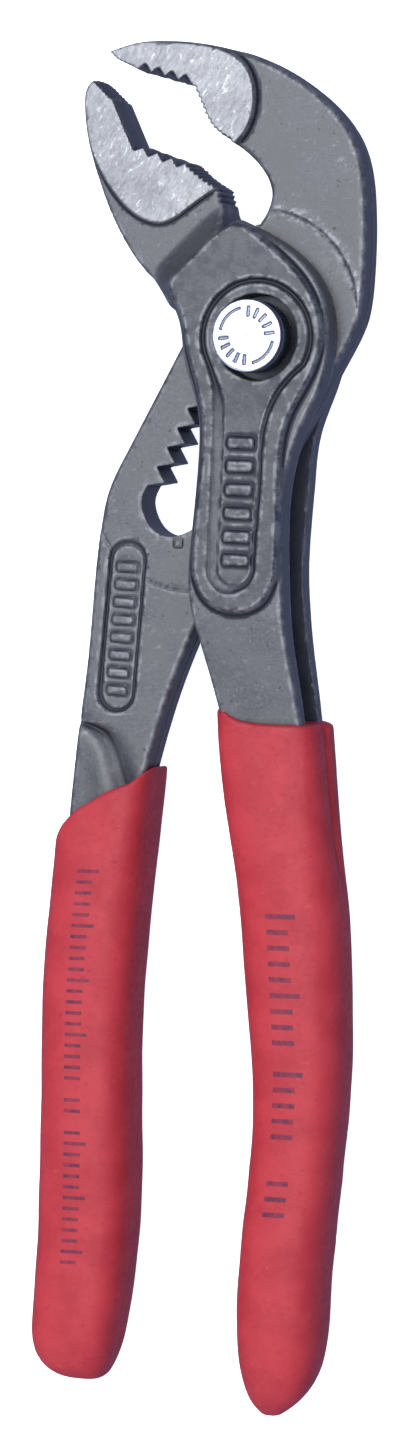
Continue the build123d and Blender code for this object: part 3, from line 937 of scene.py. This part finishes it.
def forged_steel():
    """Dark blasted forging with bright worn edges, painted shade in its hollows and between the
    cheeks, and diagonally ground jaw faces.
    """
    n = Nodes("forged_steel")
    grain, cloud = n.noise(3.2, 2.0), n.noise(0.22, 3.0)
    blotch = n.noise(0.9, 4.0, 0.65)
    base = n.mix(n.between(cloud, 0.35, 0.65), (0.104, 0.103, 0.100), (0.142, 0.139, 0.131))
    base = n.mix(n.between(grain, 0.3, 0.7, 0.0, 0.45), base, (0.185, 0.182, 0.175))
    base = n.mix(n.between(blotch, 0.62, 0.75, 0.0, 0.3), base, (0.16, 0.15, 0.135))
    scuffs = n.noise(1.3, 6.0, 0.8, n.mapped((1.6, 0.8, 1.0), radians(20)), 0.8)
    base = n.mix(n.between(scuffs, 0.56, 0.68, 0.0, 0.7), base, (0.25, 0.245, 0.235))
    pits = n.between(n.noise(1.7, 1.0), 0.70, 0.78, 0.0, 0.6)
    base = n.mix(pits, base, (0.035, 0.035, 0.042))
    dull = n.math("MULTIPLY", n.mark("dull"), n.between(blotch, 0.36, 0.62, 0.62, 0.26))
    base = n.mix(dull, base, (0.05, 0.052, 0.056))
    bend = n.mark("bend")
    worn = n.math("MULTIPLY", n.between(bend, 0.08, 0.34), n.between(blotch, 0.42, 0.60))
    base = n.mix(n.math("MULTIPLY", worn, 0.65), base, (0.28, 0.275, 0.265))
    rub = n.math("MULTIPLY", n.mark("rub"), n.between(n.noise(1.1, 5.0, 0.75), 0.47, 0.58))
    base = n.mix(n.math("MULTIPLY", rub, 0.75), base, (0.36, 0.355, 0.345))
    # painted shade: the hollows and creases of the forging are darkened where shade falls, along
    # with some oxide in them
    base = n.mix(n.between(bend, -0.10, -0.45, 0.0, 0.85), base, (0.018, 0.019, 0.028))
    # painted shade: the inside of the window between the cheeks is darkened as if in shadow
    base = n.mix(n.between(n.mark("window_painted_shade"), 0.0, 1.0, 0.0, 0.75), base, (0.028, 0.034, 0.055))

    marks = n.noise(2.2, 3.0, 0.6, n.mapped((2.2, 0.8, 1.0), radians(57)), 0.3)
    flecks = n.noise(1.5, 4.0, 0.7, n.mapped((1.8, 0.9, 1.0), radians(57)), 0.5)
    ground = n.mix(n.between(marks, 0.3, 0.7), (0.243, 0.238, 0.230), (0.325, 0.318, 0.305))
    ground = n.mix(n.between(flecks, 0.57, 0.66, 0.0, 0.85), ground, (0.56, 0.545, 0.51))
    ground = n.mix(n.between(flecks, 0.40, 0.33, 0.0, 0.55), ground, (0.17, 0.165, 0.165))
    on_ground = n.mark("ground")
    n.put(n.shader.inputs["Base Color"], n.mix(on_ground, base, ground))
    n.shader.inputs["Metallic"].default_value = 0.65
    rough = n.math("ADD", n.between(cloud, 0.3, 0.7, 0.44, 0.56),
                   n.between(grain, 0.3, 0.7, -0.04, 0.04))
    polish = n.math("MULTIPLY", on_ground, -0.08)
    n.put(n.shader.inputs["Roughness"], n.math("ADD", rough, polish))
    height = n.math("ADD", n.math("MULTIPLY", grain, 0.5), blotch)
    normal = n.bump(height, 0.5, 0.05)
    normal = n.bump(n.math("MULTIPLY", marks, on_ground), 0.35, 0.05, normal)
    n.put(n.shader.inputs["Normal"], normal)
    return n.material


def red_plastic(name, pitch, length, thick, ranges):
    """Soft red dip coating, a little crinkled, with painted shade in its creases and a plain
    printed scale of ticks.
    """
    n = Nodes(name)
    cloud, peel = n.noise(0.25, 3.0), n.noise(1.6, 3.0, 0.6)
    wrinkle = n.noise(0.8, 3.0, 0.6, n.mapped((1.0, 0.5, 1.0)), 0.8)
    red = n.mix(n.between(cloud, 0.3, 0.7), (0.47, 0.032, 0.038), (0.56, 0.045, 0.050))
    red = n.mix(n.between(peel, 0.58, 0.78, 0.0, 0.4), red, (0.33, 0.018, 0.035))
    red = n.mix(n.between(wrinkle, 0.64, 0.76, 0.0, 0.25), red, (0.72, 0.14, 0.15))
    # painted shade: the creases and hollows of the coating are darkened where shade falls
    red = n.mix(n.between(n.mark("bend"), -0.1, -0.6, 0.0, 0.7), red, (0.12, 0.008, 0.02))

    along, across = n.mark("scale_along"), n.mark("scale_across")
    phase = n.math("FRACT", n.math("DIVIDE", along, pitch))
    tick = n.between(n.math("ABSOLUTE", n.math("SUBTRACT", phase, 0.5)), thick, thick - 0.08)
    tenth = n.math("FRACT", n.math("DIVIDE", along, 5 * pitch))
    longer = n.math("LESS_THAN", tenth, 0.2)
    reach = n.math("ADD", n.math("MULTIPLY", longer, 0.35 * length), 0.5 * length)
    offset = n.math("ADD", across, 0.2 * length)
    right_side = n.math("LESS_THAN", offset, reach)
    left_side = n.math("GREATER_THAN", offset, -0.5 * length)
    zone = 0.0
    for low, high in ranges:
        band = n.math("MULTIPLY", n.math("GREATER_THAN", along, low),
                      n.math("LESS_THAN", along, high))
        zone = n.math("ADD", zone, band, True)
    facing = n.math("GREATER_THAN", n.mark("front"), 0.2)
    patchy = n.between(peel, 0.3, 0.62, 0.95, 0.55)
    print_mark = tick
    for share in (right_side, left_side, zone, facing, patchy):
        print_mark = n.math("MULTIPLY", print_mark, share)
    n.put(n.shader.inputs["Base Color"], n.mix(print_mark, red, (0.085, 0.022, 0.05)))
    n.put(n.shader.inputs["Roughness"], n.between(peel, 0.3, 0.7, 0.42, 0.58))
    n.shader.inputs["Specular IOR Level"].default_value = 0.3
    normal = n.bump(peel, 0.5, 0.08)
    normal = n.bump(wrinkle, 0.3, 0.12, normal)
    n.put(n.shader.inputs["Normal"], normal)
    return n.material


def plated():
    """Bright plating, smeared and finely scratched, dark in the stamped marks, with painted shade
    on the wall.
    """
    n = Nodes("bright_plate")
    smear = n.noise(0.9, 3.0)
    scratches = n.noise(2.4, 5.0, 0.7, n.mapped((2.0, 0.5, 1.0), radians(35)), 0.4)
    base = n.mix(n.between(smear, 0.35, 0.65), (0.74, 0.77, 0.81), (0.95, 0.96, 0.97))
    base = n.mix(n.between(scratches, 0.56, 0.68, 0.0, 0.5), base, (0.52, 0.54, 0.58))
    base = n.mix(n.mark("stamp"), base, (0.22, 0.23, 0.27))
    # painted shade: the side wall of the button is darkened as if in shadow
    base = n.mix(n.mark("wall"), base, (0.085, 0.095, 0.11))
    n.put(n.shader.inputs["Base Color"], base)
    n.shader.inputs["Metallic"].default_value = 0.85
    n.put(n.shader.inputs["Roughness"], n.between(smear, 0.3, 0.7, 0.2, 0.32))
    return n.material


def turned_steel(name, colour, rough):
    """Machined steel with fine turning marks round the pivot."""
    n = Nodes(name)
    grain = n.noise(2.5, 2.0, 0.5, n.mapped((1, 1, 0.2)))
    base = n.mix(n.between(grain, 0.3, 0.7), tuple(0.8 * c for c in colour), colour)
    n.put(n.shader.inputs["Base Color"], base)
    n.shader.inputs["Metallic"].default_value = 0.9
    n.put(n.shader.inputs["Roughness"], n.between(grain, 0.3, 0.7, rough - 0.06, rough + 0.06))
    n.put(n.shader.inputs["Normal"], n.bump(grain, 0.2, 0.02))
    return n.material


def give(piece, material):
    """Gives the piece this material alone."""
    piece.data.materials.clear()
    piece.data.materials.append(material)


# ------------------------------------------------------------------ stage

CAMERA_YAW, CAMERA_PITCH = radians(18.4), radians(3.2)
CAMERA_DISTANCE = 0.400
CAMERA_TARGET = Vector((-7.78, -41.94, MID)) * MM
LENS = 90.8


def camera_axes():
    """Right, up and the direction from the target to the camera."""
    toward = Vector((sin(CAMERA_YAW) * cos(CAMERA_PITCH), sin(CAMERA_PITCH),
                     cos(CAMERA_YAW) * cos(CAMERA_PITCH)))
    right = Vector((cos(CAMERA_YAW), 0, -sin(CAMERA_YAW)))
    return right, toward.cross(right), toward


def make_camera():
    """The camera, above the tool and a little to its right."""
    right, up, toward = camera_axes()
    data = bpy.data.cameras.new("camera")
    data.sensor_width = 36
    data.lens = LENS
    data.clip_start, data.clip_end = 0.01, 20
    camera = bpy.data.objects.new("camera", data)
    turn = Matrix((right, up, toward)).transposed().to_4x4()
    camera.matrix_world = Matrix.Translation(CAMERA_TARGET + toward * CAMERA_DISTANCE) @ turn
    bpy.context.scene.collection.objects.link(camera)
    bpy.context.scene.camera = camera


def make_light(name, place, size, power, colour):
    """A soft rectangular lamp that faces the tool."""
    data = bpy.data.lights.new(name, "AREA")
    data.shape = "RECTANGLE"
    data.size, data.size_y = size
    data.energy = power
    data.color = colour
    light = bpy.data.objects.new(name, data)
    light.location = place
    aim = CAMERA_TARGET - Vector(place)
    light.rotation_euler = aim.to_track_quat("-Z", "Y").to_euler()
    bpy.context.scene.collection.objects.link(light)


def make_backdrop():
    """A pale bowl round the floor that only the camera sees, so it lights nothing."""
    radius, sides, rings = 2.9, 48, 12
    verts, faces = [], []
    for i in range(rings):
        rise = 0.5 * pi * i / rings
        for j in range(sides):
            a = 2 * pi * j / sides
            verts.append((radius * cos(rise) * cos(a), radius * cos(rise) * sin(a),
                          radius * sin(rise) - 0.02))
    for i in range(rings - 1):
        for j in range(sides):
            k = (j + 1) % sides
            faces.append((i * sides + j, i * sides + k, (i + 1) * sides + k, (i + 1) * sides + j))
    faces.append(tuple((rings - 1) * sides + j for j in range(sides)))
    mesh = bpy.data.meshes.new("backdrop")
    mesh.from_pydata(verts, [], faces)
    backdrop = bpy.data.objects.new("backdrop", mesh)
    bpy.context.scene.collection.objects.link(backdrop)
    n = Nodes("pale_backdrop")
    n.shader.inputs["Base Color"].default_value = (0, 0, 0, 1)
    n.shader.inputs["Specular IOR Level"].default_value = 0.0
    n.shader.inputs["Emission Color"].default_value = (0.93, 0.95, 1, 1)
    n.shader.inputs["Emission Strength"].default_value = 0.95
    give(backdrop, n.material)
    backdrop.visible_diffuse = False
    backdrop.visible_glossy = False
    backdrop.visible_transmission = False
    backdrop.visible_shadow = False
    backdrop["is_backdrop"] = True


def make_stage():
    """Floor, backdrop, sky and lamps."""
    size = 3.0
    mesh = bpy.data.meshes.new("floor")
    corners = [(-size, -size), (size, -size), (size, size), (-size, size)]
    below = -0.0006
    mesh.from_pydata([(x, y, below) for x, y in corners], [], [(0, 1, 2, 3)])
    floor = bpy.data.objects.new("floor", mesh)
    bpy.context.scene.collection.objects.link(floor)
    n = Nodes("pale_floor")
    n.shader.inputs["Base Color"].default_value = (0.9, 0.9, 0.9, 1)
    n.shader.inputs["Roughness"].default_value = 0.9
    n.shader.inputs["Emission Color"].default_value = (1, 1, 1, 1)
    n.shader.inputs["Emission Strength"].default_value = 0.85
    give(floor, n.material)
    floor.visible_diffuse = False
    floor.visible_glossy = False
    floor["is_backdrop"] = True

    make_backdrop()
    world = bpy.data.worlds.new("studio")
    world.use_nodes = True
    background = world.node_tree.nodes["Background"]
    background.inputs["Color"].default_value = (0.44, 0.52, 0.95, 1)
    background.inputs["Strength"].default_value = 0.5
    bpy.context.scene.world = world
    bpy.context.scene.view_settings.view_transform = "Standard"

    daylight = (0.955, 1.0, 1.06)
    make_light("key", (-0.2, 0.3, 0.75), (0.6, 0.6), 2.6, daylight)
    make_light("front", (0.1, 0.0, 0.85), (0.8, 0.8), 5.2, daylight)
    make_light("low_fill", (-0.3, -0.5, 0.35), (0.5, 0.4), 0.7, (1.0, 0.97, 0.94))


# ------------------------------------------------------------------ assembly

steel = forged_steel()
box_lever, tongue_lever = make_levers()
for lever, body, node in ((box_lever, "box_half", "box_lever"),
                          (tongue_lever, "tongue_half", "tongue_lever")):
    give(lever, steel)
    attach(lever, body)
    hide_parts(node)

box_grip, tongue_grip = make_grips()
for grip, body, node, scale in (
        (box_grip, "box_half", "box_lever_grip",
         dict(pitch=1.7, length=2.5, thick=0.2, ranges=[(0.0, 15.3), (17.0, 25.6), (28.9, 34.2)])),
        (tongue_grip, "tongue_half", "tongue_lever_grip",
         dict(pitch=1.2, length=1.9, thick=0.2, ranges=[(0.0, 24.2), (25.2, 27.8), (29.0, 44.5)]))):
    give(grip, red_plastic(grip.name + "_plastic", **scale))
    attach(grip, body)
    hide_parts(node)

button = make_button()
give(button, plated())
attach(button, "lock_bolt")
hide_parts("push_button")

spring = make_spring()
# dark spring steel, darkened further as painted shade so that the bottom of the button's bore reads
# dark; the washer shares it
wire_steel = turned_steel("spring_wire", (0.10, 0.10, 0.11), 0.5)
give(spring, wire_steel)
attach(spring, "spring_seat")
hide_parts("button_spring")
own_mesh(spring)

give(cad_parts["hinge_bolt"], turned_steel("bolt_steel", (0.34, 0.34, 0.36), 0.38))
give(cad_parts["spring_washer"], wire_steel)

make_stage()
make_camera()

sizes = {"cad": cad_bounds, "visual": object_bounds()}
{name: [[float(c) for c in corner] for corner in box] for name, box in sizes.items()}
